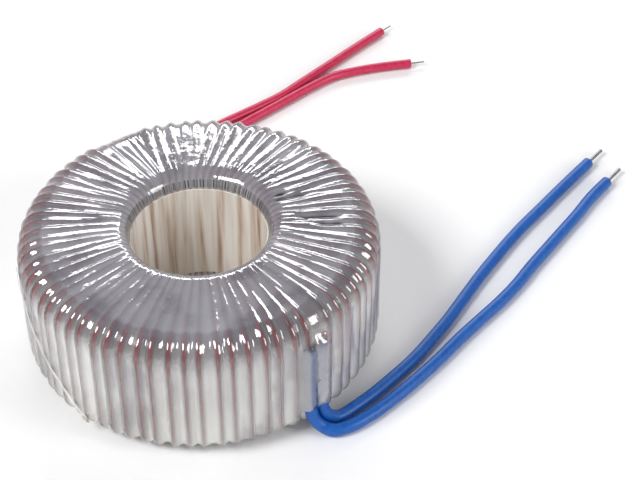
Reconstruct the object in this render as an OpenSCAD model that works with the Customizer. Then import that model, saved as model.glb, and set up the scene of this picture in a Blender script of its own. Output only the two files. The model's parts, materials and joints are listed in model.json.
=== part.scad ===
// Toroidal mains transformer, wrapped in clear film, with sleeved leads.
// It stands on its lower ridges: z = 0 is the surface under it, and its axis is Z.
// From the inside out: strip-wound core, core insulation, primary winding, film
// between the windings, secondary winding of one thick wire, and the outer film.

/* [Overall] */
// Diameter over the ridges of the outer film
outer_d = 84; // [80:0.5:90]
// Height over the ridges of the outer film
height = 34.5; // [33:0.5:44]
// Diameter of the centre hole
bore_d = 31.5; // [28:0.5:33]

/* [Outer film] */
// Thickness of the clear film, all its layers together
film_t = 0.25; // [0.15:0.05:0.35]
// Play over each wire, inside its ridge
crest_gap = 0.2; // [0.15:0.05:0.3]
// Play between the layers in the hole: wires, film and lining
bore_gap = 0.05; // [0.05:0.05:0.15]
// Half width of a ridge at its foot
ridge_w = 1.3; // [1.2:0.05:1.4]
// How much the layers build up towards the hole
film_rise = 0.4; // [0.35:0.05:0.5]

/* [Secondary winding] */
// Diameter of the secondary wire
wire_d = 1; // [0.8:0.05:1]
// Turns between the secondary leads and the primary leads
front_turns = 35; // [20:1:38]
// Turns from the primary leads back to the secondary leads
rear_turns = 32; // [18:1:35]
// Bend radius of the turns at the outer edges
outer_bend = 5.5; // [4.5:0.25:6.5]
// Bend radius of the turns at the edges of the hole
inner_bend = 3; // [2.75:0.25:4]
// Angle along the wall that the turns leave free for the primary leads
primary_gap = 22; // [18:1:26]
// The same angle, measured at the hole
primary_gap_at_hole = 10; // [7:1:14]

/* [Insulation and primary winding] */
// Play between one layer and the next
layer_gap = 0.05; // [0.05:0.05:0.1]
// Thickness of the film between the windings
inter_t = 0.4; // [0.2:0.05:0.6]
// Thickness of the primary winding along the outer wall
primary_outer_t = 1.2; // [0.8:0.1:2]
// Thickness of the primary winding above and below the core
primary_flat_t = 1.8; // [1:0.1:2.5]
// Thickness of the primary winding in the hole
primary_bore_t = 2.6; // [1.5:0.1:3]
// Diameter of the primary wire
primary_wire_d = 0.4; // [0.3:0.05:0.6]
// Wall of the core's insulating caps
cap_t = 0.8; // [0.6:0.1:1.2]
// Depth of the caps' skirts
cap_skirt = 9; // [6:0.5:10]
// Thickness of the tape between the caps' skirts
tape_t = 0.4; // [0.2:0.1:0.6]
// Thickness of the core's steel strip
strip_t = 0.3; // [0.23:0.01:0.35]

/* [Leads] */
// Outer diameter of the blue sleeves on the secondary leads
blue_d = 3; // [2.6:0.1:3]
// Outer diameter of the red sleeves on the primary leads
red_d = 2.5; // [2:0.1:2.5]
// Height at which the sleeves begin, under the outer film
sleeve_top = 25.5; // [18:0.5:26]
// Play round the sleeves under the outer film
sleeve_gap = 0.1; // [0.1:0.05:0.2]
// Bare, tinned length at the end of a blue lead
blue_bare = 6.5; // [3:0.5:10]
// Bare, tinned length at the end of a red lead
red_bare = 4; // [2:0.5:10]

/* [Film end] */
// Width of the outer film's loose end, folded to a strip
strip_w = 1.4; // [1:0.1:3]
// Angle at which the loose end leaves the film
strip_start = 192; // [185:1:205]
// Angle at which it is sealed down
strip_stop = 234.5; // [225:0.5:240]

/* [Hidden] */
$fn = 96;

// Wire centre lines: radius at the wall and in the hole, heights of the runs above and below.
// In the hole lie two layers of film: the skin over the wires, and the lining on top of it
crest_h = wire_d / 2 + crest_gap;
wall_r = outer_d / 2 - crest_h - film_t;
lining_r = bore_d / 2 + film_t;
skin_r = lining_r + bore_gap;
hole_r = skin_r + film_t + bore_gap + wire_d / 2;
run_top = height - crest_h - film_t;
run_bottom = crest_h + film_t;

// Directions of the leads, seen from above
secondary_at = -50;
primary_at = 124;

function polar(r, a) = [r * cos(a), r * sin(a)];

// ---- Layers of revolution ------------------------------------------------------------

// Each layer is described by how far it lies inside the wire's centre lines:
// at the wall, above and below, and in the hole, with its two corner radii.
function wall_at(depth) = wall_r - depth;
function hole_at(depth) = hole_r + depth;

module layer_solid(wall, flat, hole, corner, hole_corner) {
    r1 = hole_at(hole);
    r2 = wall_at(wall);
    z1 = run_bottom + flat;
    z2 = run_top - flat;
    rotate_extrude() union() {
        translate([r1 + hole_corner, z1]) square([r2 - corner - r1 - hole_corner, z2 - z1]);
        translate([r1, z1 + hole_corner]) square([hole_corner, z2 - z1 - 2 * hole_corner]);
        translate([r2 - corner, z1 + corner]) square([corner, z2 - z1 - 2 * corner]);
        for (z = [z1 + corner, z2 - corner]) translate([r2 - corner, z]) circle(corner);
        for (z = [z1 + hole_corner, z2 - hole_corner])
            translate([r1 + hole_corner, z]) circle(hole_corner);
    }
}

// Depths of the layers under the wire's centre line
inter_depth = wire_d / 2 + layer_gap;
primary_depth = inter_depth + inter_t + layer_gap;
cap_wall = primary_depth + primary_outer_t + layer_gap;
cap_flat = primary_depth + primary_flat_t + layer_gap;
cap_hole = primary_depth + primary_bore_t + layer_gap;
cap_corner = 1.6;
core_r = wall_at(cap_wall + cap_t + layer_gap);
core_hole_r = hole_at(cap_hole + cap_t + layer_gap);
core_bottom = run_bottom + cap_flat + cap_t + layer_gap;
core_top = run_top - cap_flat - cap_t - layer_gap;
core_chamfer = 0.3;

// The core is one long steel strip, wound up: it ends in a step outside and inside
module core() color("dimgray") {
    strip_end = 300;
    rotate_extrude() polygon([
        [core_hole_r + strip_t, core_bottom], [core_r - strip_t - core_chamfer, core_bottom],
        [core_r - strip_t, core_bottom + core_chamfer], [core_r - strip_t, core_top - core_chamfer],
        [core_r - strip_t - core_chamfer, core_top], [core_hole_r + strip_t, core_top]]);
    for (r = [core_hole_r, core_r - 1.5 * strip_t])
        rotate_extrude(angle = strip_end) translate([r, core_bottom + core_chamfer])
            square([1.5 * strip_t, core_top - core_bottom - 2 * core_chamfer]);
}

module core_cap() {
    difference() {
        layer_solid(cap_wall, cap_flat, cap_hole, cap_corner, cap_corner);
        layer_solid(cap_wall + cap_t, cap_flat + cap_t, cap_hole + cap_t,
                    cap_corner - cap_t, cap_corner - cap_t);
        translate([0, 0, run_bottom])
            cylinder(r = wall_r, h = run_top - run_bottom - cap_flat - cap_skirt);
    }
}

module core_cap_top() color("ivory") core_cap();

module core_cap_bottom() color("ivory")
    translate([0, 0, run_top + run_bottom]) mirror([0, 0, 1]) core_cap();

// Tape wound round the core's two walls, between the skirts of the caps
module core_tape(r) {
    edge = 0.2;
    z1 = run_bottom + cap_flat + cap_skirt + edge;
    z2 = run_top - cap_flat - cap_skirt - edge;
    translate([0, 0, z1]) difference() {
        cylinder(r = r + tape_t, h = z2 - z1);
        translate([0, 0, -1]) cylinder(r = r, h = z2 - z1 + 2);
    }
}

module core_outer_tape() color("khaki") core_tape(core_r + layer_gap);

module core_inner_tape() color("khaki") core_tape(core_hole_r - layer_gap - tape_t);

// ---- Primary winding -----------------------------------------------------------------

red_r = wall_at(inter_depth) + layer_gap + red_d / 2;
blue_r = wall_at(inter_depth) + layer_gap + blue_d / 2;
sleeve_play = 0.14;
function half_angle(d, r) = asin((d + sleeve_play) / 2 / r);
red_azimuths = [primary_at + half_angle(red_d, red_r), primary_at - half_angle(red_d, red_r)];
blue_azimuths = [secondary_at - half_angle(blue_d, blue_r), secondary_at + half_angle(blue_d, blue_r)];

lead_out_bend = 0.6;
lead_out_r = wall_at(inter_depth) + layer_gap + primary_wire_d + lead_out_bend;
lead_out_z = sleeve_top + 1.2;

// An end of the primary wire: out through the film, then down into its sleeve
module primary_lead_out(azimuth) rotate([0, 0, azimuth]) {
    start = wall_at(primary_depth + primary_outer_t / 2);
    translate([start, 0, lead_out_z]) rotate([0, 90, 0])
        cylinder(d = primary_wire_d, h = lead_out_r - lead_out_bend - start, $fn = 24);
    translate([lead_out_r - lead_out_bend, 0, lead_out_z - lead_out_bend]) rotate([90, 0, 0])
        rotate_extrude(angle = 90) translate([lead_out_bend, 0])
            circle(d = primary_wire_d, $fn = 24);
    translate([lead_out_r, 0, sleeve_top])
        cylinder(d = primary_wire_d, h = lead_out_z - lead_out_bend - sleeve_top, $fn = 24);
}

module primary_winding() color("peru") union() {
    difference() {
        layer_solid(primary_depth, primary_depth, primary_depth,
                    outer_bend - primary_depth, max(inner_bend - primary_depth, 1));
        layer_solid(cap_wall - layer_gap, cap_flat - layer_gap, cap_hole - layer_gap,
                    cap_corner + layer_gap, cap_corner + layer_gap);
    }
    for (a = red_azimuths) primary_lead_out(a);
}

module interwinding_film() color("whitesmoke") difference() {
    layer_solid(inter_depth, inter_depth, inter_depth,
                outer_bend - inter_depth, inner_bend - inter_depth);
    layer_solid(inter_depth + inter_t, inter_depth + inter_t, inter_depth + inter_t,
                outer_bend - inter_depth - inter_t, max(inner_bend - inter_depth - inter_t, 1));
    for (a = red_azimuths) rotate([0, 0, a]) translate([wall_r - 3, 0, lead_out_z])
        rotate([0, 90, 0]) cylinder(d = primary_wire_d + 0.3, h = 4, $fn = 24);
}

// ---- Secondary winding ---------------------------------------------------------------

// The turns start over the first blue sleeve and go round clockwise, seen from above.
// Turn 0 starts in the sleeve; the last entry has only its outer leg, which turns
// back down into the second sleeve.
full_turn = 360;
lead_room = 5;
first_room = blue_azimuths[1] - secondary_at;
primary_from = secondary_at + 360 - primary_at;
front_step = (primary_from - primary_gap / 2 - first_room - lead_room) / (front_turns - 1);
hairpin_room = 4;
rear_step = (full_turn - primary_from - primary_gap / 2 - first_room - hairpin_room) / (rear_turns - 1);
last = front_turns + rear_turns;

// Hand-wound turns stray a little from an even pitch
stray = 0.45;
function stray_of(i) = (i == 0 || i == last) ? 0 : stray * sin(137 * i);

// Angle travelled at the wall when leg i is reached, and the leg's azimuth
function wall_travel(i) =
    i == 0 ? first_room :
    i <= front_turns ? first_room + lead_room + (i - 1) * front_step :
    primary_from + primary_gap / 2 + (i - front_turns - 1) * rear_step;
function wall_azimuth(i) = secondary_at - wall_travel(i) + stray_of(i);

// The same in the hole, where the turns lie nearly side by side
hole_lean = 3;
front_hole_step = (primary_from - primary_gap_at_hole / 2 - first_room) / front_turns;
rear_hole_step = (full_turn - primary_from - primary_gap_at_hole / 2 - first_room) / (rear_turns - 1);
function hole_travel(i) =
    i <= front_turns ? first_room + i * front_hole_step :
    primary_from + primary_gap_at_hole / 2 + (i - front_turns - 1) * rear_hole_step;
function hole_azimuth(i) = secondary_at - hole_travel(i) + hole_lean;

// The wire's straight stretches are a hair thinner than its bends, and lap into them
lap = 0.1;
lap_step = 0.04;

module elbow(x, z, bend, from, d)
    translate([x, 0, z]) rotate([90, 0, 0]) rotate([0, 0, from])
        rotate_extrude(angle = 90) translate([bend, 0]) circle(d = d, $fn = 24);

// One flat run from the wall to the hole, with an elbow at each end.
// side is 1 above the core and -1 below it.
module run(from, to, side) {
    span = to - from;
    length = norm(span);
    z = side > 0 ? run_top : run_bottom;
    translate([from[0], from[1], 0]) rotate([0, 0, atan2(span[1], span[0])]) {
        elbow(outer_bend, z - side * outer_bend, outer_bend, side > 0 ? 90 : 180, wire_d);
        elbow(length - inner_bend, z - side * inner_bend, inner_bend, side > 0 ? 0 : 270, wire_d);
        translate([outer_bend - lap, 0, z]) rotate([0, 90, 0])
            cylinder(d = wire_d - lap_step, h = length - outer_bend - inner_bend + 2 * lap, $fn = 24);
    }
}

module upright(at, z1, z2, foot = lap)
    translate([at[0], at[1], z1 - foot]) cylinder(d = wire_d - lap_step, h = z2 - z1 + foot + lap, $fn = 24);

// Turn i: up the wall, over the top, down the hole and back below to the next leg
module turn(i) {
    from = polar(wall_r, wall_azimuth(i));
    down = polar(hole_r, hole_azimuth(i));
    next = polar(wall_r, wall_azimuth(i + 1));
    upright(from, i == 0 ? sleeve_top : run_bottom + outer_bend, run_top - outer_bend,
            i == 0 || i == front_turns ? 0 : lap);
    run(from, down, 1);
    upright(down, run_bottom + inner_bend, run_top - inner_bend);
    run(next, down, -1);
}

// The last leg rises beside the second sleeve and turns back down into its mouth
module last_leg() {
    from = polar(wall_r, wall_azimuth(last));
    mouth = polar(wall_r, blue_azimuths[1]);
    span = mouth - from;
    hairpin_z = sleeve_top + 0.5;
    upright(from, run_bottom + outer_bend, hairpin_z);
    upright(mouth, sleeve_top, hairpin_z, 0);
    translate([from[0], from[1], 0]) rotate([0, 0, atan2(span[1], span[0])])
        translate([norm(span) / 2, 0, hairpin_z]) rotate([90, 0, 0])
            rotate_extrude(angle = 180) translate([norm(span) / 2, 0])
                circle(d = wire_d, $fn = 24);
}

// The winding is one wire, in two lengths that meet face to face beside the primary leads
module secondary_winding_1() color("crimson") union() {
    for (i = [0 : front_turns - 1]) turn(i);
}

module secondary_winding_2() color("crimson") union() {
    for (i = [front_turns : last - 1]) turn(i);
    last_leg();
}

// ---- Outer film ----------------------------------------------------------------------

// The film is stretched over the turns: a ridge over each wire, flat between them.
// Its columns run round the section, each at the wall azimuth a, and at the azimuths
// b above and c below in the hole. wall, top and low say where a wire lifts it.
function column(a, b, c, wall, top, low, side) = [a, b, c, wall, top, low, side];
function turn_column(i, side) =
    let (on = side == 0 ? 1 : 0,
         b = i < last ? hole_azimuth(i) : hole_azimuth(last - 1) - rear_hole_step,
         c = i > 0 ? hole_azimuth(i - 1) : hole_azimuth(0) + front_hole_step)
    column(wall_azimuth(i), b, c, i == last && side == 1 ? 1 : on,
           i < last ? on : 0, i > 0 ? on : 0, side);

// Plain columns where no turn lies, across the primary gap
gap_columns = [for (t = [0.25, 0.5, 0.75]) let (
    before = turn_column(front_turns, 0),
    after = turn_column(front_turns + 1, 0),
    mixed = before + (after - before) * t,
    below = before[2] + (after[2] - before[2]) * (0.4 + 0.2 * t))
    column(mixed[0], mixed[1], below, 0, 0, 0, 0)];

// The hairpin's second leg, over the second sleeve, is a ridge on the wall only
function wrap(col) = col - [full_turn, full_turn, full_turn, 0, 0, 0, 0];
mouth_column = let (mid = (turn_column(last, 0) + wrap(turn_column(0, 0))) / 2)
    column(blue_azimuths[1] - full_turn, mid[1], mid[2], 1, 0, 0, 0);

function all_columns(sides) = concat(
    [for (i = [0 : front_turns], s = sides) turn_column(i, s)],
    gap_columns,
    [for (i = [front_turns + 1 : last], s = sides) turn_column(i, s)],
    [mouth_column]);

// Azimuth at radius r of the straight run from the wall at a to the hole at b
function run_azimuth(r, a, b) =
    r >= wall_r ? a : r <= hole_r ? b :
    let (p = polar(wall_r, a), d = polar(hole_r, b) - p, k = p * d / (d * d),
         t = -k - sqrt(k * k - (p * p - r * r) / (d * d)), q = p + t * d,
         raw = atan2(q[1], q[0]))
    raw + full_turn * round((a - raw) / full_turn);

// Section rows: [radius, height, normal, lift share, place], place being 0 at the wall,
// 1 above and -1 below
hole_corner = inner_bend + film_rise;
function section_rows(off, hole_angles) = let (
    flat_share = 1 - film_rise / crest_h,
    corner_r = wall_r - outer_bend,
    corner_z = run_top - outer_bend,
    inner_r = skin_r + film_t + hole_corner,
    inner_z = run_top + film_rise - hole_corner,
    upper = concat(
        [for (t = [0, 30, 60, 90]) let (r = (outer_bend + off) / (t == 30 || t == 60 ? cos(15) : 1))
            [corner_r + r * cos(t), corner_z + r * sin(t), [cos(t), sin(t)], 1, t == 0 ? 0 : 1]],
        [for (t = hole_angles) [inner_r + (hole_corner + off) * cos(t),
            inner_z + (hole_corner + off) * sin(t), [cos(t), sin(t)],
            flat_share * (180 - t) / 90, 1]]),
    middle = (run_top + run_bottom) / 2,
    count = len(upper))
    concat(upper, [for (k = [count - 1 : -1 : 0]) let (row = upper[k])
        [row[0], 2 * middle - row[1], [row[2][0], -row[2][1]], row[3], -row[4]]]);

foot_limit = 0.42 * front_hole_step;
function film_point(col, row, crest) = let (
    lift = crest * row[3] * (row[4] == 0 ? col[3] : row[4] == 1 ? col[4] : col[5]),
    r = row[0] + lift * row[2][0],
    z = row[1] + lift * row[2][1],
    spread = min(ridge_w / r * 180 / PI, foot_limit),
    a = run_azimuth(row[0], col[0], row[4] == -1 ? col[2] : col[1]) - col[6] * spread)
    [r * cos(a), r * sin(a), z];

module film_surface(cols, rows, crest) {
    n = len(cols);
    m = len(rows);
    points = [for (col = cols, row = rows) film_point(col, row, crest)];
    faces = [for (i = [0 : n - 1], j = [0 : m - 1])
        let (i2 = (i + 1) % n, j2 = (j + 1) % m)
        each [[i * m + j, i2 * m + j, i2 * m + j2], [i * m + j, i2 * m + j2, i * m + j2]]];
    polyhedron(points, faces);
}

// Inside, the film has a crest over each wire and a valley half way to the next
valley_sink = 0.3;
crests = all_columns([0]);
function valley(k) = let (
    hairpin = k == len(crests) - 2 ? 1 : -valley_sink,
    next = k == len(crests) - 1 ? wrap(crests[0]) : crests[k + 1],
    mid = (crests[k] + next) / 2)
    column(mid[0], mid[1], mid[2], hairpin, -valley_sink, -valley_sink, 0);
cavity_columns = [for (k = [0 : len(crests) - 1]) each [crests[k], valley(k)]];

// Room for a pair of sleeves side by side: two round channels, joined flat between them
module channel(azimuths, r, radius, z1, z2) {
    half = abs(azimuths[1] - azimuths[0]) / 2;
    for (a = azimuths) translate([r * cos(a), r * sin(a), z1])
        cylinder(r = radius, h = z2 - z1, $fn = 32);
    rotate([0, 0, (azimuths[0] + azimuths[1]) / 2])
        translate([r * cos(half) - radius, -r * sin(half), z1])
            cube([2 * radius, 2 * r * sin(half), z2 - z1]);
}

// The film's surfaces are taut, flat-sided skins, so they are taken as one mesh, which
// bulges over the sleeves and is slit where they come out, above the lower edge
channel_low = 8;
slit_low = 3.5;
slit_play = 0.5;
blue_channel_top = sleeve_top + 0.5;
red_channel_top = lead_out_z + primary_wire_d;
module outer_film() color([0.72, 0.7, 0.75]) resize([0, 0, 0]) difference() {
    union() {
        film_surface(all_columns([-1, 0, 1]), section_rows(film_t, [90, 120, 150, 180]), crest_h);
        channel(blue_azimuths, blue_r, blue_d / 2 + sleeve_gap + film_t, channel_low,
                blue_channel_top + film_t);
        channel(red_azimuths, red_r, red_d / 2 + sleeve_gap + film_t, channel_low,
                red_channel_top + film_t);
    }
    film_surface(cavity_columns, section_rows(0, [90, 135, 180]), crest_h);
    channel(blue_azimuths, blue_r, blue_d / 2 + sleeve_gap, channel_low - 1, blue_channel_top);
    channel(red_azimuths, red_r, red_d / 2 + sleeve_gap, channel_low - 1, red_channel_top);
    channel(blue_azimuths, blue_r, blue_d / 2 + slit_play, slit_low, channel_low);
    channel(red_azimuths, red_r, red_d / 2 + slit_play, slit_low, channel_low);
}

// Turns of film that meet edge to edge at the wall lie over each other in the hole: these
// layers are the lining of the hole
lining_end = run_bottom - film_rise + hole_corner;
module film_lining() color([0.8, 0.78, 0.72])
    translate([0, 0, lining_end]) difference() {
        cylinder(r = lining_r, h = height - 2 * lining_end);
        translate([0, 0, -1]) cylinder(d = bore_d, h = height - 2 * lining_end + 2);
    }

// The film's loose end, folded to a strip, runs down over the ridges and is melted
// down at its tip
strip_top = 28;
strip_bottom = 4.3;
strip_steps = 14;
module film_end_strip() color("gainsboro") {
    r1 = outer_d / 2 + bore_gap;
    corners = [for (i = [0 : strip_steps]) let (
        t = i / strip_steps,
        a = strip_start + (strip_stop - strip_start) * t,
        z = strip_top + (strip_bottom - strip_top) * t,
        w = strip_w * (i >= strip_steps - 1 ? 0.8 : 0.5))
        each [for (c = [[r1, -w], [r1 + film_t, -w], [r1 + film_t, w], [r1, w]])
            [c[0] * cos(a), c[0] * sin(a), z + c[1]]]];
    sides = [for (i = [0 : strip_steps - 1], k = [0 : 3]) let (k2 = (k + 1) % 4)
        [4 * i + k, 4 * i + k2, 4 * i + 4 + k2, 4 * i + 4 + k]];
    polyhedron(corners, concat(sides, [[3, 2, 1, 0]],
        [[for (k = [0 : 3]) 4 * strip_steps + k]]));
}

// ---- Leads ---------------------------------------------------------------------------

// A sleeve starts on the wall, under the outer film, and runs straight down to its slit
function bound_run(azimuth, r) = [for (z = [sleeve_top, (sleeve_top + channel_low) / 2, channel_low])
    concat(polar(r, azimuth), [z])];

// The free stretch of each lead, as it lies
blue_rest = blue_d / 2;
red_rest = red_d / 2;
blue_route_1 = concat(bound_run(blue_azimuths[0], blue_r), [
    [26.5, -33.5, 4.5], [28.5, -34, 2.25], [31.5, -34.5, blue_rest], [36, -32.5, blue_rest],
    [41.5, -28, blue_rest], [46.5, -23, blue_rest], [51.5, -17.5, blue_rest],
    [56.5, -11.5, blue_rest], [61.5, -5, blue_rest], [66.5, 1, blue_rest],
    [72, 7.5, blue_rest], [76.5, 13.5, blue_rest], [81, 20.5, blue_rest],
    [85.5, 27, blue_rest], [90, 33.5, blue_rest], [94.5, 40, blue_rest],
    [99, 47, blue_rest], [104, 53.5, blue_rest]]);
blue_route_2 = concat(bound_run(blue_azimuths[1], blue_r), [
    [29, -31.5, 4.5], [31, -31, 2.25], [33.5, -29.5, blue_rest], [39.5, -24, blue_rest],
    [45, -18, blue_rest], [50, -12, blue_rest], [54.5, -5.5, blue_rest],
    [59, 1.5, blue_rest], [63, 8.5, blue_rest], [67, 15.5, blue_rest],
    [71, 22, blue_rest], [75.5, 29, blue_rest], [80, 35.5, blue_rest],
    [85, 42, blue_rest], [89.5, 48, blue_rest], [94.5, 54.5, blue_rest],
    [100, 61.5, blue_rest]]);
red_route_1 = concat(bound_run(red_azimuths[0], red_r), [
    [-25, 34.5, 4.5], [-26, 36, 2], [-27.5, 39, red_rest], [-28.5, 46, red_rest],
    [-26, 53.5, red_rest], [-21, 60, red_rest], [-15, 66, red_rest],
    [-8.5, 71.5, red_rest], [-2, 76.5, red_rest], [4.5, 81.5, red_rest],
    [11, 86.5, red_rest], [17, 91.5, red_rest], [22.5, 97.5, red_rest],
    [28, 103.5, red_rest], [33, 109, red_rest], [38.5, 115, red_rest],
    [46, 123, red_rest]]);
red_route_2 = concat(bound_run(red_azimuths[1], red_r), [
    [-22, 36.5, 4.5], [-22, 38.5, 2], [-21.5, 42, red_rest], [-19, 49, red_rest],
    [-15, 55.5, red_rest], [-10, 61.5, red_rest], [-4.5, 67.5, red_rest],
    [1, 73, red_rest], [6.5, 78.5, red_rest], [12.5, 84, red_rest],
    [18.5, 89.5, red_rest], [24.5, 95, red_rest], [31.5, 100.5, red_rest],
    [39, 103.5, red_rest], [46.5, 105.5, red_rest], [54, 107, red_rest]]);

function unit(v) = v / norm(v);
function heading(route, i) =
    unit(route[min(i + 1, len(route) - 1)] - route[max(i - 1, 0)]);

// A sleeve swept along its route; hint is a level direction that the route never takes
module sleeve(route, d, hint) {
    sides = 8;
    n = len(route);
    rim = [for (i = [0 : n - 1]) let (u = unit(cross(heading(route, i), hint)),
                                     v = cross(heading(route, i), u))
        each [for (k = [0 : sides - 1])
            route[i] + d / 2 * (cos(k * 360 / sides) * u + sin(k * 360 / sides) * v)]];
    skin = [for (i = [0 : n - 2], k = [0 : sides - 1]) let (k2 = (k + 1) % sides)
        [sides * i + k, sides * (i + 1) + k, sides * (i + 1) + k2, sides * i + k2]];
    polyhedron(rim, concat(skin, [[for (k = [0 : sides - 1]) k]],
        [[for (k = [sides - 1 : -1 : 0]) sides * (n - 1) + k]]));
}

module blue_sleeve(route) color("royalblue") sleeve(route, blue_d, [-0.34, 0.94, 0]);
module red_sleeve(route) color("crimson") sleeve(route, red_d, [0.98, -0.2, 0]);
module blue_sleeve_1() blue_sleeve(blue_route_1);
module blue_sleeve_2() blue_sleeve(blue_route_2);
module red_sleeve_1() red_sleeve(red_route_1);
module red_sleeve_2() red_sleeve(red_route_2);

// The bare, tinned end of a wire, standing out of the mouth of its sleeve
module wire_end(route, d, bare) color("silver") {
    n = len(route);
    way = route[n - 1] - route[n - 2];
    chamfer = d / 8;
    translate(route[n - 1]) rotate([0, 0, atan2(way[1], way[0])]) rotate([0, 90, 0])
        rotate_extrude($fn = 24) polygon([[0, 0], [d / 2, 0], [d / 2, bare - chamfer],
                                          [d / 2 - chamfer, bare], [0, bare]]);
}

module blue_wire_end_1() wire_end(blue_route_1, wire_d, blue_bare);
module blue_wire_end_2() wire_end(blue_route_2, wire_d, blue_bare);
module red_wire_end_1() wire_end(red_route_1, primary_wire_d, red_bare);
module red_wire_end_2() wire_end(red_route_2, primary_wire_d, red_bare);

core();
core_cap_top();
core_cap_bottom();
core_outer_tape();
core_inner_tape();
primary_winding();
interwinding_film();
secondary_winding_1();
secondary_winding_2();
outer_film();
film_lining();
film_end_strip();
blue_sleeve_1();
blue_sleeve_2();
red_sleeve_1();
red_sleeve_2();
blue_wire_end_1();
blue_wire_end_2();
red_wire_end_1();
red_wire_end_2();
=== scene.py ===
"""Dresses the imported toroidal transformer: shiny film over the turns, leads, floor and light."""

import json
import math

import bpy
import numpy as np
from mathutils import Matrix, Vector, noise


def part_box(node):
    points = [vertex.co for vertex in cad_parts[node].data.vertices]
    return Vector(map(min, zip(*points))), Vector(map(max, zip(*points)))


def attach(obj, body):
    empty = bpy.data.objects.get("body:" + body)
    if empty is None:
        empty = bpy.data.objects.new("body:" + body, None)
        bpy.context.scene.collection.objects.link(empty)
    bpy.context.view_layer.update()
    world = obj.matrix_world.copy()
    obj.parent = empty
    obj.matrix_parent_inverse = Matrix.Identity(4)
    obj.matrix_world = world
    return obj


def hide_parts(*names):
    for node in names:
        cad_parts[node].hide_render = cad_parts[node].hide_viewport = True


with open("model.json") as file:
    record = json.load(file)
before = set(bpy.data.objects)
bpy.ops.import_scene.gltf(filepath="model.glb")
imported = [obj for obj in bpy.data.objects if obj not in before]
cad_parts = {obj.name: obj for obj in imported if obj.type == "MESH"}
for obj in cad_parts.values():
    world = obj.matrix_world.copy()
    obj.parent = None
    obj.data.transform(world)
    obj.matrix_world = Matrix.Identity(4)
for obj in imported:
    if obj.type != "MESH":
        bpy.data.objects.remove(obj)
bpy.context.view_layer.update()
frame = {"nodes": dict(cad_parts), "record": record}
MM = 0.001  # every size below is in mm, and is multiplied by this when a mesh is made
scene = bpy.context.scene
scene.view_settings.view_transform = "Standard"

# ---- Camera ----------------------------------------------------------------------------

CAMERA_AT = (0.02787, -0.29498, 0.29225)
CAMERA_DOWN = 41.8  # degrees below the horizon
LENS = 96.19
camera = bpy.data.objects.new("camera", bpy.data.cameras.new("camera"))
scene.collection.objects.link(camera)
camera.data.sensor_width = 36
camera.data.lens = LENS
camera.data.clip_start = 0.01
camera.data.clip_end = 20
camera.location = CAMERA_AT
camera.rotation_euler = (math.radians(90 - CAMERA_DOWN), 0, 0)
scene.camera = camera

# ---- Sizes, in mm, as in the solids ----------------------------------------------------

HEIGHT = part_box("outer_film")[1][2] / MM
BORE_R = frame["record"]["mounts"][0]["dims"]["r_mm"]
FILM_T = 0.25
GAP = 0.05
WIRE_D = 1.0
CREST = WIRE_D / 2 + 0.2
OUTER_D = 84.0
WALL_R = OUTER_D / 2 - CREST - FILM_T
SKIN_R = BORE_R + FILM_T + GAP
HOLE_R = SKIN_R + FILM_T + GAP + WIRE_D / 2
RUN_TOP = HEIGHT - CREST - FILM_T
RUN_BOTTOM = CREST + FILM_T
OUTER_BEND = 5.5
INNER_BEND = 3.0
FILM_RISE = 0.4
HOLE_CORNER = INNER_BEND + FILM_RISE
PRIMARY_GAP = 22
PRIMARY_GAP_AT_HOLE = 10
LEAD_ROOM = 5
HAIRPIN_ROOM = 4
HOLE_LEAN = 3
STRAY = 0.45
FRONT_TURNS = 35
REAR_TURNS = 32
LAST = FRONT_TURNS + REAR_TURNS
SECONDARY_AT = -50.0
PRIMARY_AT = 124.0
BLUE_D = 3.0
RED_D = 2.5
SLEEVE_TOP = 25.5
CHANNEL_LOW = 8.0
INTER_DEPTH = WIRE_D / 2 + GAP
BLUE_R = WALL_R - INTER_DEPTH + GAP + BLUE_D / 2
RED_R = WALL_R - INTER_DEPTH + GAP + RED_D / 2
SLEEVE_PLAY = 0.14


def half_angle(d, r):
    """Half the angle between two sleeves of diameter d side by side at radius r."""
    return math.degrees(math.asin((d + SLEEVE_PLAY) / 2 / r))


BLUE_HALF = half_angle(BLUE_D, BLUE_R)
RED_HALF = half_angle(RED_D, RED_R)
PRIMARY_FROM = SECONDARY_AT + 360 - PRIMARY_AT
FRONT_STEP = (PRIMARY_FROM - PRIMARY_GAP / 2 - BLUE_HALF - LEAD_ROOM) / (FRONT_TURNS - 1)
REAR_STEP = (360 - PRIMARY_FROM - PRIMARY_GAP / 2 - BLUE_HALF - HAIRPIN_ROOM) / (REAR_TURNS - 1)
FRONT_HOLE_STEP = (PRIMARY_FROM - PRIMARY_GAP_AT_HOLE / 2 - BLUE_HALF) / FRONT_TURNS
REAR_HOLE_STEP = (360 - PRIMARY_FROM - PRIMARY_GAP_AT_HOLE / 2 - BLUE_HALF) / (
    REAR_TURNS - 1)


def wall_azimuth(i):
    """Azimuth of leg i of the secondary winding at the wall, in degrees."""
    if i == 0:
        travel = BLUE_HALF
    elif i <= FRONT_TURNS:
        travel = BLUE_HALF + LEAD_ROOM + (i - 1) * FRONT_STEP
    else:
        travel = PRIMARY_FROM + PRIMARY_GAP / 2 + (i - FRONT_TURNS - 1) * REAR_STEP
    stray = 0 if i in (0, LAST) else STRAY * math.sin(math.radians(137 * i))
    return SECONDARY_AT - travel + stray


def hole_azimuth(i):
    """The same in the hole."""
    if i <= FRONT_TURNS:
        travel = BLUE_HALF + i * FRONT_HOLE_STEP
    else:
        travel = PRIMARY_FROM + PRIMARY_GAP_AT_HOLE / 2 + (i - FRONT_TURNS - 1) * REAR_HOLE_STEP
    return SECONDARY_AT - travel + HOLE_LEAN


def polar(r, a, z=0.0):
    """The point at radius r, azimuth a in degrees and height z."""
    return np.array([r * math.cos(math.radians(a)), r * math.sin(math.radians(a)), z])


# ---- Mesh helpers ----------------------------------------------------------------------

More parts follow.
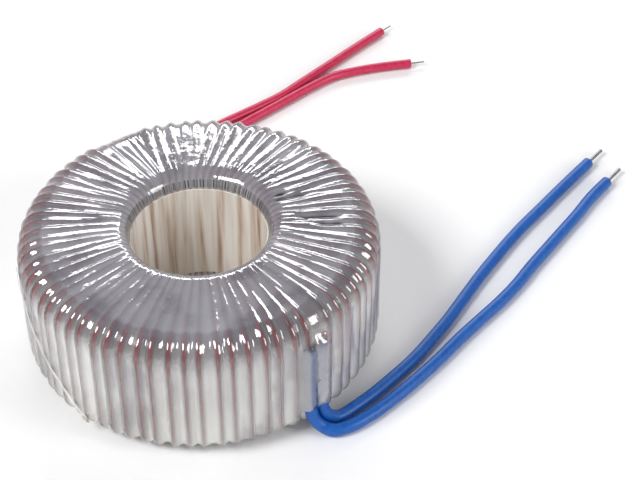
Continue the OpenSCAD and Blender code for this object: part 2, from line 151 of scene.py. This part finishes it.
def new_mesh(name, points, faces, smooth=True):
    """A mesh object from points in mm."""
    mesh = bpy.data.meshes.new(name)
    mesh.from_pydata([tuple(float(c) * MM for c in p) for p in points], [], faces)
    mesh.validate()
    if smooth:
        mesh.polygons.foreach_set("use_smooth", [True] * len(mesh.polygons))
    obj = bpy.data.objects.new(name, mesh)
    scene.collection.objects.link(obj)
    return obj


def frames_along(path, hint):
    """A pair of unit normals for each point of a path, turned as little as may be."""
    path = np.asarray(path, float)
    way = np.gradient(path, axis=0)
    way /= np.linalg.norm(way, axis=1)[:, None]
    u = np.cross(way[0], hint)
    u /= np.linalg.norm(u)
    out = []
    for t in way:
        u = u - t * np.dot(u, t)
        u /= np.linalg.norm(u)
        out.append((u.copy(), np.cross(t, u), t))
    return out


def smooth_route(points, steps):
    """A Catmull-Rom curve through the points."""
    p = [np.asarray(q, float) for q in points]
    p = [2 * p[0] - p[1]] + p + [2 * p[-1] - p[-2]]
    out = []
    for i in range(1, len(p) - 2):
        for k in range(steps):
            t = k / steps
            a, b, c, d = p[i - 1], p[i], p[i + 1], p[i + 2]
            out.append(0.5 * (2 * b + (c - a) * t + (2 * a - 5 * b + 4 * c - d) * t * t
                              + (3 * b - a - 3 * c + d) * t ** 3))
    out.append(p[-2])
    return np.array(out)


def tube(name, path, radius, sides, hint, mouth=None):
    """A tube along a path in mm. mouth = (wall, depth, rounding) opens its far end."""
    rings = [(q, radius, f) for q, f in zip(path, frames_along(path, hint))]
    if mouth:
        wall, depth, rounding = mouth
        end, _, f = rings[-1]
        rings[-1] = (end - f[2] * rounding, radius, f)
        for k in (1, 2, 3):
            a = math.radians(30 * k)
            rings.append((end - f[2] * rounding * (1 - math.sin(a)),
                          radius - rounding * (1 - math.cos(a)), f))
        rings.append((end, radius - wall, f))
        rings.append((end - f[2] * depth, radius - wall - 0.05, f))
    points = []
    for q, r, (u, v, _) in rings:
        for k in range(sides):
            a = 2 * math.pi * k / sides
            points.append(q + r * (math.cos(a) * u + math.sin(a) * v))
    faces = []
    for i in range(len(rings) - 1):
        for k in range(sides):
            n = (k + 1) % sides
            faces.append((i * sides + k, i * sides + n, (i + 1) * sides + n, (i + 1) * sides + k))
    faces.append(tuple(range(sides - 1, -1, -1)))
    faces.append(tuple(range((len(rings) - 1) * sides, len(rings) * sides)))
    return new_mesh(name, points, faces)


# ---- Leads -----------------------------------------------------------------------------

def bound_run(azimuth, r):
    """The stretch of a sleeve that the film binds to the wall."""
    return [polar(r, azimuth, z)
            for z in (SLEEVE_TOP, (SLEEVE_TOP + CHANNEL_LOW) / 2, CHANNEL_LOW)]


BLUE_Z = BLUE_D / 2
RED_Z = RED_D / 2
ROUTES = {
    "blue_lead_1": bound_run(SECONDARY_AT - BLUE_HALF, BLUE_R) + [
        (26.5, -33.5, 4.5), (28.5, -34, 2.25)] + [(x, y, BLUE_Z) for x, y in (
            (31.5, -34.5), (36, -32.5), (41.5, -28), (46.5, -23), (51.5, -17.5),
            (56.5, -11.5), (61.5, -5), (66.5, 1), (72, 7.5), (76.5, 13.5), (81, 20.5),
            (85.5, 27), (90, 33.5), (94.5, 40), (99, 47), (104, 53.5))],
    "blue_lead_2": bound_run(SECONDARY_AT + BLUE_HALF, BLUE_R) + [
        (29, -31.5, 4.5), (31, -31, 2.25)] + [(x, y, BLUE_Z) for x, y in (
            (33.5, -29.5), (39.5, -24), (45, -18), (50, -12), (54.5, -5.5), (59, 1.5),
            (63, 8.5), (67, 15.5), (71, 22), (75.5, 29), (80, 35.5), (85, 42),
            (89.5, 48), (94.5, 54.5), (100, 61.5))],
    "red_lead_1": bound_run(PRIMARY_AT + RED_HALF, RED_R) + [
        (-25, 34.5, 4.5), (-26, 36, 2)] + [(x, y, RED_Z) for x, y in (
            (-27.5, 39), (-28.5, 46), (-26, 53.5), (-21, 60), (-15, 66), (-8.5, 71.5),
            (-2, 76.5), (4.5, 81.5), (11, 86.5), (17, 91.5), (22.5, 97.5), (28, 103.5),
            (33, 109), (38.5, 115), (46, 123))],
    "red_lead_2": bound_run(PRIMARY_AT - RED_HALF, RED_R) + [
        (-22, 36.5, 4.5), (-22, 38.5, 2)] + [(x, y, RED_Z) for x, y in (
            (-21.5, 42), (-19, 49), (-15, 55.5), (-10, 61.5), (-4.5, 67.5), (1, 73),
            (6.5, 78.5), (12.5, 84), (18.5, 89.5), (24.5, 95), (31.5, 100.5),
            (39, 103.5), (46.5, 105.5), (54, 107))],
}
leads = {}
for name, route in ROUTES.items():
    colour, _, number = name.split("_")
    d = BLUE_D if colour == "blue" else RED_D
    hint = (-0.34, 0.94, 0) if colour == "blue" else (0.98, -0.2, 0)
    mouth = (0.55, 0.9, 0.28) if colour == "blue" else (0.5, 0.7, 0.06)
    path = smooth_route(route, 6)
    path[:, 2] = np.maximum(path[:, 2], d / 2)
    lead = tube(name, path, d / 2, 24, hint, mouth)
    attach(lead, "root")
    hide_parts(f"{colour}_sleeve_{number}")
    leads[name] = lead

# ---- Secondary wire --------------------------------------------------------------------

def arc(centre, start, end, steps=5):
    """Points on the quarter circle from start to end round centre."""
    centre, start, end = (np.asarray(q, float) for q in (centre, start, end))
    return [centre + (start - centre) * math.cos(k * math.pi / 2 / steps)
            + (end - centre) * math.sin(k * math.pi / 2 / steps) for k in range(steps + 1)]


def run_points(wall, hole, side):
    """One flat run with its two elbows, from the wall to the hole."""
    z = RUN_TOP if side > 0 else RUN_BOTTOM
    span = hole - wall
    way = span / np.linalg.norm(span)
    down = np.array([0, 0, -side])
    up = np.array([0, 0, z])
    a = wall + way * OUTER_BEND + up
    b = hole - way * INNER_BEND + up
    first = arc(a + down * OUTER_BEND, wall + up + down * OUTER_BEND, a, 6)
    second = arc(b + down * INNER_BEND, b, hole + up + down * INNER_BEND)
    return first + second


wire_path = [polar(WALL_R, wall_azimuth(0), SLEEVE_TOP)]
for i in range(LAST):
    here = polar(WALL_R, wall_azimuth(i))
    hole = polar(HOLE_R, hole_azimuth(i))
    after = polar(WALL_R, wall_azimuth(i + 1))
    wire_path += run_points(here, hole, 1)
    wire_path += run_points(after, hole, -1)[::-1]
last_foot = polar(WALL_R, wall_azimuth(LAST))
mouth_foot = polar(WALL_R, SECONDARY_AT + BLUE_HALF)
centre = (last_foot + mouth_foot) / 2 + np.array([0, 0, SLEEVE_TOP + 0.5])
reach = (last_foot - mouth_foot) / 2
for k in range(9):
    a = math.pi * k / 8
    wire_path.append(centre + reach * math.cos(a)
                     + np.array([0, 0, np.linalg.norm(reach) * math.sin(a)]))
wire_path.append(mouth_foot + np.array([0, 0, SLEEVE_TOP]))
secondary = tube("secondary_wire", wire_path, WIRE_D / 2, 10, (0, 1, 0))
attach(secondary, "root")
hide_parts("secondary_winding_1", "secondary_winding_2")

# ---- Outer film ------------------------------------------------------------------------

def run_azimuth(r, a, b):
    """Azimuth at radius r of the straight run from the wall at a to the hole at b."""
    if r >= WALL_R:
        return a
    if r <= HOLE_R:
        return b
    p, q = polar(WALL_R, a)[:2], polar(HOLE_R, b)[:2]
    d = q - p
    k = p @ d / (d @ d)
    t = -k - math.sqrt(max(k * k - (p @ p - r * r) / (d @ d), 0))
    x = p + t * d
    turn = math.degrees(math.atan2(p[0] * x[1] - p[1] * x[0], p @ x))
    return a + turn


def section():
    """Rows round the film's section: r, z, normal, place and fraction down the hole.
    place is 1 above, -1 below and 0 on the wall."""
    off = FILM_T
    rows = []
    corner_r = WALL_R - OUTER_BEND
    corner_z = RUN_TOP - OUTER_BEND
    inner_r = SKIN_R + FILM_T + HOLE_CORNER
    inner_z = RUN_TOP + FILM_RISE - HOLE_CORNER
    middle = (RUN_TOP + RUN_BOTTOM) / 2
    for k in range(14):
        z = middle + (corner_z - middle) * k / 14
        rows.append((WALL_R + off, z, (1, 0), 0, 0))
    for k in range(10):
        t = math.radians(9 * k)
        rows.append((corner_r + (OUTER_BEND + off) * math.cos(t),
                     corner_z + (OUTER_BEND + off) * math.sin(t),
                     (math.cos(t), math.sin(t)), 1, 0))
    for k in range(24):
        s = k / 24
        rows.append((corner_r + (inner_r - corner_r) * s, RUN_TOP + off + FILM_RISE * s,
                     (0, 1), 1, 0))
    for k in range(10):
        t = math.radians(90 + 9 * k)
        rows.append((inner_r + (HOLE_CORNER + off) * math.cos(t),
                     inner_z + (HOLE_CORNER + off) * math.sin(t),
                     (math.cos(t), math.sin(t)), 1, 0))
    for k in range(7):
        s = k / 6 / 2
        rows.append((SKIN_R, inner_z + (2 * middle - 2 * inner_z) * s, (-1, 0), 1, s))
    lower = []
    for r, z, n, place, s in rows[1:-1][::-1]:
        lower.append((r, 2 * middle - z, (n[0], -n[1]), -place if place else 0,
                      1 - s if s else 0))
    return rows, lower


def clamp(value):
    """value, kept between 0 and 1."""
    return max(0.0, min(1.0, value))


def smoothstep(low, high, value):
    """0 below low, 1 above high, and a smooth rise between them."""
    t = clamp((value - low) / (high - low))
    return t * t * (3 - 2 * t)


def sleeve_bulge(azimuth, z, base):
    """How far the film stands out over a pair of sleeves, in mm."""
    most = 0.0
    for at, half, r, d, top in ((SECONDARY_AT, BLUE_HALF, BLUE_R, BLUE_D, 26.4),
                                (PRIMARY_AT, RED_HALF, RED_R, RED_D, 27.2)):
        off = (azimuth - at + 180) % 360 - 180
        side = abs(off)
        if side > half + 8:
            continue
        over = r + d / 2 + 0.25
        dip = 0.35 * (1 - smoothstep(0, half, side))
        shape = 1 - smoothstep(half + 0.8, half + 5.2, side)
        height = smoothstep(CHANNEL_LOW - 1.2, CHANNEL_LOW + 0.2, z) * (
            1 - smoothstep(top - 0.6, top + 3.2, z))
        most = max(most, (over - dip - base) * shape * height)
    return most


upper_rows, lower_rows = section()
all_rows = upper_rows + lower_rows
COLUMN_STEP = 0.55  # degrees at most between columns of the film
columns = []
for i in range(LAST + 1):
    a1, a2 = wall_azimuth(i), wall_azimuth(i + 1) if i < LAST else wall_azimuth(0) - 360
    b1 = hole_azimuth(i) if i < LAST else hole_azimuth(LAST - 1) - REAR_HOLE_STEP
    if i + 1 < LAST:
        b2 = hole_azimuth(i + 1)
    elif i + 1 == LAST:
        b2 = hole_azimuth(LAST - 1) - REAR_HOLE_STEP
    else:
        b2 = hole_azimuth(0) - 360
    c1 = hole_azimuth(i - 1) if i > 0 else hole_azimuth(0) + FRONT_HOLE_STEP
    c2 = hole_azimuth(i) if i < LAST else hole_azimuth(0) + FRONT_HOLE_STEP - 360
    steps = max(9, math.ceil(abs(a2 - a1) / COLUMN_STEP))
    for k in range(steps):
        t = k / steps
        columns.append((a1 + (a2 - a1) * t, b1 + (b2 - b1) * t, c1 + (c2 - c1) * t, t,
                        abs(a2 - a1), abs(b2 - b1), abs(c2 - c1)))


def ridge(t, pitch, width):
    """Height of the film between two wires a pitch apart, 1 over the wire."""
    near = min(t, 1 - t) * pitch
    return max(0.0, 1 - (near / width) ** 1.4)


def slit_at(azimuth, r):
    """Narrow folds in the top, to the right of the hole, as (azimuth, low r, high r); they are sunk
    a little and painted near black as painted shade.
    """
    most = 0.0
    for at, low, high in ((21.5, 18.5, 27), (3.0, 23, 33), (-1.5, 27, 34), (27.0, 19, 23)):
        off = ((azimuth - at + 180) % 360 - 180) * math.radians(1) * r
        off += 0.5 * noise.noise(Vector((r * 0.5, at, 0)))
        ends = smoothstep(low - 1.5, low + 1.5, r) * (1 - smoothstep(high - 2, high + 1, r))
        most = max(most, ends * math.exp(-(off / 0.8) ** 2))
    return most


points, crest_of, shoulder_of, bulge_of, slit_of = [], [], [], [], []
for a, b, c, t, pitch_a, pitch_b, pitch_c in columns:
    for r, z, n, place, s in all_rows:
        inner = c if place < 0 else b
        azimuth = run_azimuth(r, a, inner)
        if s > 0:
            azimuth = b + (c - b) * s
        share = min(1, max(0, (WALL_R - r) / (WALL_R - HOLE_R)))
        pitch = math.radians(pitch_a + ((pitch_c if place < 0 else pitch_b) - pitch_a) * share) * r
        crest = ridge(t, pitch, min(1.35, 0.45 * pitch))
        build_up = 1 - 0.8 * share ** 0.7
        if s > 0 or n[0] < -0.99:
            build_up = 0
        elif n[0] < 0:
            build_up *= 1 + n[0]
        sag = -0.12 * (1 - crest) * (1 - share)
        where = Vector((azimuth * 0.23, r * 0.035 + z * 0.02, z * 0.05))
        wave = noise.noise(where * 1.0) * 0.2 + noise.noise(where * 3.1) * 0.13
        if place == 0:
            wave *= 0.8
        top_only = 1 if n[1] > 0.5 else 0.5
        fine = noise.noise(Vector((azimuth * 1.1, r * 0.12, z * 0.16))) * 0.07 * top_only
        hole_calm = 0.25 if (s > 0 or n[0] < -0.3) else 1
        fill = 0.8 * smoothstep(0.06, 0.36, share)
        raised = CREST * (crest + (1 - crest) * fill) * build_up
        lift = raised + sag + (wave + fine) * hole_calm * (1 - 0.7 * crest)
        limit = CREST * (1 if share < 0.02 else 1 - 0.57 * share)
        lift = min(lift, limit)
        slit = slit_at(azimuth, r) if place > 0 and n[1] > 0.9 else 0.0
        # Painted shade: dark patches along the rim of the hole, on the same mask as the folds.
        if place > 0 and -0.995 < n[0] < -0.8:
            slit = clamp(0.62 + 0.9 * noise.noise(Vector((azimuth * 0.8, 7, 0))))
        lift -= 0.25 * slit if n[1] > 0.9 else 0
        if n[0] < -0.9:
            lift = max(min(lift, 0.0), -0.06)
        rr, zz = r + lift * n[0], z + lift * n[1]
        bulge = 0
        if n[0] > 0.3:
            bulge = sleeve_bulge(azimuth, z, rr)
            if bulge > 0.02:
                crumple = noise.noise(Vector((azimuth * 0.9, z * 0.55, 3))) * 0.32
                rr += bulge + crumple * min(1, bulge) - 0.1 * min(1, bulge)
        points.append(polar(rr, azimuth, min(max(zz, 0.02), HEIGHT - 0.01)))
        crest_of.append(crest)
        slit_of.append(slit)
        bulge_of.append(min(1, bulge / 1.2))
        shoulder = math.exp(-((z - 31) / 3.2) ** 2) if n[0] > 0.05 else 0
        shoulder_of.append(shoulder)
n_cols, n_rows = len(columns), len(all_rows)
faces = []
for i in range(n_cols):
    i2 = (i + 1) % n_cols
    for j in range(n_rows):
        j2 = (j + 1) % n_rows
        faces.append((i * n_rows + j, i * n_rows + j2, i2 * n_rows + j2, i2 * n_rows + j))
film = new_mesh("wrapped_film", points, faces)
for label, values in (("crest", crest_of), ("shoulder", shoulder_of), ("bulge", bulge_of),
                      ("slit", slit_of)):
    layer = film.data.attributes.new(label, "FLOAT", "POINT")
    layer.data.foreach_set("value", [float(v) for v in values])
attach(film, "root")
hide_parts("outer_film")

# ---- The film's loose end --------------------------------------------------------------

STRIP = dict(start=192.0, stop=234.5, top=28.0, bottom=4.3)
strip_points, strip_faces = [], []
STRIP_STEPS = 60
for i in range(STRIP_STEPS + 1):
    t = i / STRIP_STEPS
    a = STRIP["start"] + (STRIP["stop"] - STRIP["start"]) * t
    z = STRIP["top"] + (STRIP["bottom"] - STRIP["top"]) * t
    wide = 0.62 + 0.12 * math.sin(9 * t) + 0.1 * math.sin(31 * t)
    r = OUTER_D / 2 + 0.1 + 0.08 * math.sin(23 * t)
    for dz, dr in ((-wide, 0.02), (-0.35 * wide, 0.16), (0.1, 0.05), (0.5 * wide, 0.18),
                   (wide, 0.0)):
        strip_points.append(polar(r + dr, a + 0.6 * dz, z + dz * 0.85))
for i in range(STRIP_STEPS):
    for k in range(4):
        q = 5 * i + k
        strip_faces.append((q, q + 1, q + 6, q + 5))
strip = new_mesh("film_end", strip_points, strip_faces)
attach(strip, "root")
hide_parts("film_end_strip")

seal_points, seal_faces = [], []
SEAL_N, SEAL_M = 12, 8
SEAL_AZIMUTH = 233.6
seal_at = polar(OUTER_D / 2 + 0.12, SEAL_AZIMUTH, 4.5)
out = polar(1, SEAL_AZIMUTH)
along = np.array([-out[1], out[0], 0]) * 0.86 + np.array([0, 0, -0.5])
across = np.cross(out, along)
for j in range(SEAL_M + 1):
    v = math.pi * j / SEAL_M
    for k in range(SEAL_N):
        u = 2 * math.pi * k / SEAL_N
        x = 1.15 * math.cos(v)
        y = 0.75 * math.sin(v) * math.cos(u)
        w = 0.2 * math.sin(v) * math.sin(u)
        bump = 1 + 0.25 * noise.noise(Vector((x, y, w * 3)) * 1.7)
        seal_points.append(seal_at + bump * (along * x + across * y + out * w))
for j in range(SEAL_M):
    for k in range(SEAL_N):
        n = (k + 1) % SEAL_N
        q = j * SEAL_N
        seal_faces.append((q + k, q + n, q + SEAL_N + n, q + SEAL_N + k))
seal = new_mesh("film_seal", seal_points, seal_faces)
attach(seal, "root")

# ---- Materials -------------------------------------------------------------------------

class Nodes:
    """A material's node tree, built with short calls."""

    def __init__(self, name):
        self.material = bpy.data.materials.new(name)
        self.material.use_nodes = True
        self.tree = self.material.node_tree
        self.tree.nodes.clear()
        self.output = self.tree.nodes.new("ShaderNodeOutputMaterial")
        self.coords = self.tree.nodes.new("ShaderNodeTexCoord").outputs["Object"]

    def link(self, source, target):
        self.tree.links.new(source, target)

    def add(self, kind, inputs=None, **settings):
        node = self.tree.nodes.new(kind)
        for key, value in settings.items():
            setattr(node, key, value)
        for key, value in (inputs or {}).items():
            if isinstance(value, bpy.types.NodeSocket):
                self.link(value, node.inputs[key])
            else:
                node.inputs[key].default_value = value
        return node

    def noise(self, scale, detail=4.0, stretch=(1, 1, 1)):
        mapping = self.add("ShaderNodeMapping", {"Vector": self.coords, "Scale": stretch})
        return self.add("ShaderNodeTexNoise", {"Vector": mapping.outputs[0], "Scale": scale,
                                               "Detail": detail}).outputs[0]

    def ramp(self, source, *stops):
        node = self.add("ShaderNodeValToRGB", {"Fac": source})
        elements = node.color_ramp.elements
        while len(elements) < len(stops):
            elements.new(0.5)
        for element, (position, colour) in zip(elements, stops):
            element.position = position
            element.color = (*colour, 1)
        return node.outputs[0]

    def math(self, operation, a, b=0.0, clamp=False):
        return self.add("ShaderNodeMath", {0: a, 1: b}, operation=operation,
                        use_clamp=clamp).outputs[0]

    def bump(self, height, strength, distance):
        return self.add("ShaderNodeBump", {"Height": height, "Strength": strength,
                                           "Distance": distance}).outputs[0]

    def finish(self, shader):
        self.link(shader, self.output.inputs["Surface"])
        return self.material


def plain(name, dark, light, roughness, metallic=0.0, scale=400.0, stretch=(1, 1, 1),
          bump=0.15, coat=0.0):
    """A solid material whose colour and surface vary a little."""
    n = Nodes(name)
    grain = n.noise(scale, 5, stretch)
    colour = n.ramp(grain, (0.3, dark), (0.7, light))
    rough = n.math("MULTIPLY_ADD", grain, 0.15)
    rough.node.inputs[2].default_value = roughness - 0.07
    shader = n.add("ShaderNodeBsdfPrincipled", {
        "Base Color": colour, "Roughness": rough, "Metallic": metallic, "Coat Weight": coat,
        "Normal": n.bump(grain, bump, 0.0001)})
    return n.finish(shader.outputs[0])


def film_material():
    """Clear, shiny, slightly milky film in many layers."""
    n = Nodes("clear_film")
    crest = n.add("ShaderNodeAttribute", attribute_name="crest").outputs["Fac"]
    shoulder = n.add("ShaderNodeAttribute", attribute_name="shoulder").outputs["Fac"]
    bulge = n.add("ShaderNodeAttribute", attribute_name="bulge").outputs["Fac"]
    slit = n.add("ShaderNodeAttribute", attribute_name="slit").outputs["Fac"]
    patches = n.noise(45, 3)
    clouds = n.noise(95, 4, (1, 1, 0.5))
    creases = n.noise(620, 6, (1, 1, 0.35))
    folds = n.noise(150, 3, (1, 1, 0.25))
    place = n.add("ShaderNodeSeparateXYZ", {"Vector": n.coords})
    height = n.math("MULTIPLY", place.outputs["Z"], 1 / 0.034, True)
    side_haze = n.ramp(height, (0.0, (0.78,) * 3), (0.8, (0.74,) * 3), (1.0, (0.66,) * 3))
    haze = n.math("ADD", side_haze, n.math("MULTIPLY", n.math("SUBTRACT", patches, 0.5), 0.6))
    haze = n.math("SUBTRACT", haze, n.math("MULTIPLY", shoulder, 0.42))
    over_wire = n.math("POWER", crest, 1.7)
    wall_share = n.ramp(height, (0.0, (0.6,) * 3), (0.85, (0.6,) * 3), (1.0, (0.16,) * 3))
    haze = n.math("SUBTRACT", haze, n.math("MULTIPLY", over_wire, wall_share))
    haze = n.math("SUBTRACT", haze, n.math("MULTIPLY", bulge, 0.45))
    # Painted shade: where folds and rim patches are marked, the film is made milkier here, painted
    # near black below and made less shiny.
    haze = n.math("ADD", haze, n.math("MULTIPLY", slit, 0.9), True)
    # Painted shade: the milky colour is darker on the top than on the wall.
    tone = n.ramp(height, (0.0, (0.78, 0.78, 0.74)), (0.86, (0.74, 0.73, 0.72)),
                  (1.0, (0.43, 0.42, 0.46)))
    cloud = n.ramp(clouds, (0.38, (0.62, 0.6, 0.64)), (0.5, (0.95, 0.95, 0.95)),
                   (0.6, (1.0, 1.0, 1.0)))
    tone = n.add("ShaderNodeMix", {0: 1.0, 6: tone, 7: cloud}, data_type="RGBA",
                 blend_type="MULTIPLY").outputs[2]
    # Painted shade: the folds and the patches at the hole's rim are painted near black.
    tone = n.add("ShaderNodeMix", {0: slit, 6: tone, 7: (0.012, 0.01, 0.014, 1)},
                 data_type="RGBA").outputs[2]
    relief = n.math("ADD", n.math("MULTIPLY", creases, 0.35), folds)
    normal = n.bump(relief, 0.4, 0.0005)
    milk = n.add("ShaderNodeBsdfDiffuse", {"Color": tone, "Normal": normal})
    clear = n.add("ShaderNodeBsdfTransparent", {"Color": (0.93, 0.91, 0.93, 1)})
    body = n.add("ShaderNodeMixShader", {0: haze, 1: clear.outputs[0], 2: milk.outputs[0]})
    gloss = n.add("ShaderNodeBsdfGlossy", {"Color": (1, 1, 1, 1), "Roughness": 0.06,
                                           "Normal": normal})
    edge = n.add("ShaderNodeFresnel", {"IOR": 1.8, "Normal": normal}).outputs[0]
    shine = n.math("MINIMUM", n.math("ADD", edge, 0.07), 0.85)
    shine = n.math("SUBTRACT", shine, n.math("MULTIPLY", slit, 0.13), True)
    mix = n.add("ShaderNodeMixShader", {0: shine, 1: body.outputs[0], 2: gloss.outputs[0]})
    return n.finish(mix.outputs[0])


def strip_material():
    """The same film, folded to a strip: creased, and milkier."""
    n = Nodes("folded_film")
    creases = n.noise(900, 5, (1, 1, 0.3))
    haze = n.math("MULTIPLY_ADD", creases, 0.5, True)
    haze.node.inputs[2].default_value = 0.3
    normal = n.bump(creases, 0.5, 0.0002)
    milk = n.add("ShaderNodeBsdfDiffuse", {"Color": (0.8, 0.8, 0.8, 1), "Normal": normal})
    clear = n.add("ShaderNodeBsdfTransparent", {"Color": (0.95, 0.95, 0.95, 1)})
    body = n.add("ShaderNodeMixShader", {0: haze, 1: clear.outputs[0], 2: milk.outputs[0]})
    gloss = n.add("ShaderNodeBsdfGlossy", {"Color": (1, 1, 1, 1), "Roughness": 0.08,
                                           "Normal": normal})
    mix = n.add("ShaderNodeMixShader", {0: 0.22, 1: body.outputs[0], 2: gloss.outputs[0]})
    return n.finish(mix.outputs[0])


def lining_material():
    """Cream film with brown streaks of the winding showing through."""
    n = Nodes("hole_film")
    streaks = n.noise(520, 4, (1, 1, 0.05))
    broad = n.noise(110, 3, (1, 1, 0.12))
    mixed = n.math("MULTIPLY_ADD", streaks, 0.6)
    n.link(n.math("MULTIPLY", broad, 0.4), mixed.node.inputs[2])
    colour = n.ramp(mixed, (0.36, (0.36, 0.22, 0.16)), (0.44, (0.72, 0.62, 0.52)),
                    (0.56, (0.9, 0.87, 0.82)))
    shader = n.add("ShaderNodeBsdfPrincipled", {
        "Base Color": colour, "Roughness": 0.16, "IOR": 1.65, "Coat Weight": 0.6,
        "Normal": n.bump(streaks, 0.35, 0.0003)})
    return n.finish(shader.outputs[0])


def inner_film_material():
    """Pale film between the windings; the primary turns show through it."""
    n = Nodes("inner_film")
    bands = n.noise(420, 3, (1, 1, 0.1))
    broad = n.noise(60, 2)
    colour = n.ramp(n.math("MULTIPLY", n.math("ADD", bands, broad), 0.5),
                    (0.35, (0.6, 0.52, 0.45)), (0.5, (0.74, 0.73, 0.68)), (0.62, (0.82, 0.82, 0.8)))
    place = n.add("ShaderNodeSeparateXYZ", {"Vector": n.coords})
    height = n.math("MULTIPLY", place.outputs["Z"], 1 / 0.034, True)
    # The film turns dark brown towards the top, over the shoulder.
    darker_towards_top = n.ramp(height, (0.78, (0, 0, 0)), (0.86, (1, 1, 1)))
    colour = n.add("ShaderNodeMix", {0: darker_towards_top, 6: colour, 7: (0.15, 0.085, 0.08, 1)},
                   data_type="RGBA").outputs[2]
    shader = n.add("ShaderNodeBsdfPrincipled", {
        "Base Color": colour, "Roughness": 0.2, "IOR": 1.6,
        "Normal": n.bump(bands, 0.3, 0.0002)})
    return n.finish(shader.outputs[0])


def dress(obj, material):
    """Gives an object, a CAD node among them, one material."""
    if not obj.data.materials:
        obj.data.materials.append(material)
    for slot in obj.material_slots:
        slot.link = "OBJECT"
        slot.material = material


dress(film, film_material())
folded = strip_material()
dress(strip, folded)
dress(seal, plain("melted_film", (0.3, 0.2, 0.13), (0.62, 0.52, 0.42), 0.25, scale=900))
dress(secondary, plain("red_enamel", (0.27, 0.006, 0.02), (0.45, 0.018, 0.034), 0.18, scale=500,
                       bump=0.05, coat=0.5))
blue_cover = plain("blue_sleeve_skin", (0.0, 0.075, 0.36), (0.003, 0.115, 0.45), 0.4, scale=900,
                   bump=0.12)
red_cover = plain("red_sleeve_skin", (0.5, 0.012, 0.065), (0.62, 0.03, 0.1), 0.34, scale=900,
                  bump=0.12)
for name, lead in leads.items():
    dress(lead, blue_cover if name.startswith("blue") else red_cover)
tinned = plain("tinned_copper", (0.2, 0.2, 0.21), (0.42, 0.42, 0.43), 0.32, 1.0, 1500,
               bump=0.2)
looks = {
    "core": plain("core_steel", (0.25, 0.25, 0.27), (0.4, 0.4, 0.42), 0.35, 1.0, 600, (1, 1, 8)),
    "core_cap_top": plain("cap_plastic", (0.7, 0.68, 0.6), (0.8, 0.78, 0.7), 0.5, scale=300),
    "core_outer_tape": plain("core_tape", (0.6, 0.5, 0.25), (0.72, 0.62, 0.35), 0.4, scale=350),
    "primary_winding": plain("primary_enamel", (0.3, 0.08, 0.03), (0.5, 0.18, 0.07), 0.25,
                             scale=900, stretch=(1, 1, 0.1), bump=0.5, coat=0.4),
    "interwinding_film": inner_film_material(),
    "film_lining": lining_material(),
}
looks["core_cap_bottom"] = looks["core_cap_top"]
looks["core_inner_tape"] = looks["core_outer_tape"]
for colour in ("blue", "red"):
    for number in (1, 2):
        looks[f"{colour}_wire_end_{number}"] = tinned
for node, material in looks.items():
    dress(frame["nodes"][node], material)

# ---- Floor and light -------------------------------------------------------------------

floor = bpy.data.objects.new("floor", bpy.data.meshes.new("floor"))
floor.data.from_pydata([(-3, -3, 0), (3, -3, 0), (3, 3, 0), (-3, 3, 0)], [], [(0, 1, 2, 3)])
scene.collection.objects.link(floor)
floor.location.z = -0.0002
ground = Nodes("pale_floor")
paper = ground.add("ShaderNodeBsdfPrincipled", {"Base Color": (0.93, 0.93, 0.93, 1),
                                                "Roughness": 0.9})
floor.data.materials.append(ground.finish(paper.outputs[0]))

world = bpy.data.worlds.new("studio")
scene.world = world
world.use_nodes = True
sky = world.node_tree
sky.nodes.clear()
world_out = sky.nodes.new("ShaderNodeOutputWorld")
background = sky.nodes.new("ShaderNodeBackground")
coords = sky.nodes.new("ShaderNodeTexCoord")
split = sky.nodes.new("ShaderNodeSeparateXYZ")
ramp = sky.nodes.new("ShaderNodeValToRGB")
ramp.color_ramp.elements[0].position = 0.0
ramp.color_ramp.elements[0].color = (0.95, 0.95, 0.95, 1)
ramp.color_ramp.elements[1].position = 0.75
ramp.color_ramp.elements[1].color = (0.3, 0.3, 0.32, 1)
sky.links.new(coords.outputs["Generated"], split.inputs[0])
sky.links.new(split.outputs["Z"], ramp.inputs[0])
sky.links.new(ramp.outputs[0], background.inputs["Color"])
sky.links.new(background.outputs[0], world_out.inputs["Surface"])
background.inputs["Strength"].default_value = 0.75


def lamp(name, place, aim, size, power):
    """A soft rectangular lamp in metres and watts."""
    data = bpy.data.lights.new(name, "AREA")
    data.shape = "RECTANGLE"
    data.size, data.size_y = size
    data.energy = power
    obj = bpy.data.objects.new(name, data)
    obj.location = place
    way = Vector(aim) - Vector(place)
    obj.rotation_euler = way.to_track_quat("-Z", "Y").to_euler()
    scene.collection.objects.link(obj)


lamp("key", (-0.5, -0.35, 0.75), (0, 0, 0.02), (0.42, 0.3), 6.4)
lamp("fill", (0.75, -0.3, 0.45), (0.02, 0, 0.02), (0.3, 0.45), 2.7)
lamp("back", (0.1, 0.9, 0.55), (0, 0, 0.02), (0.8, 0.2), 4.0)
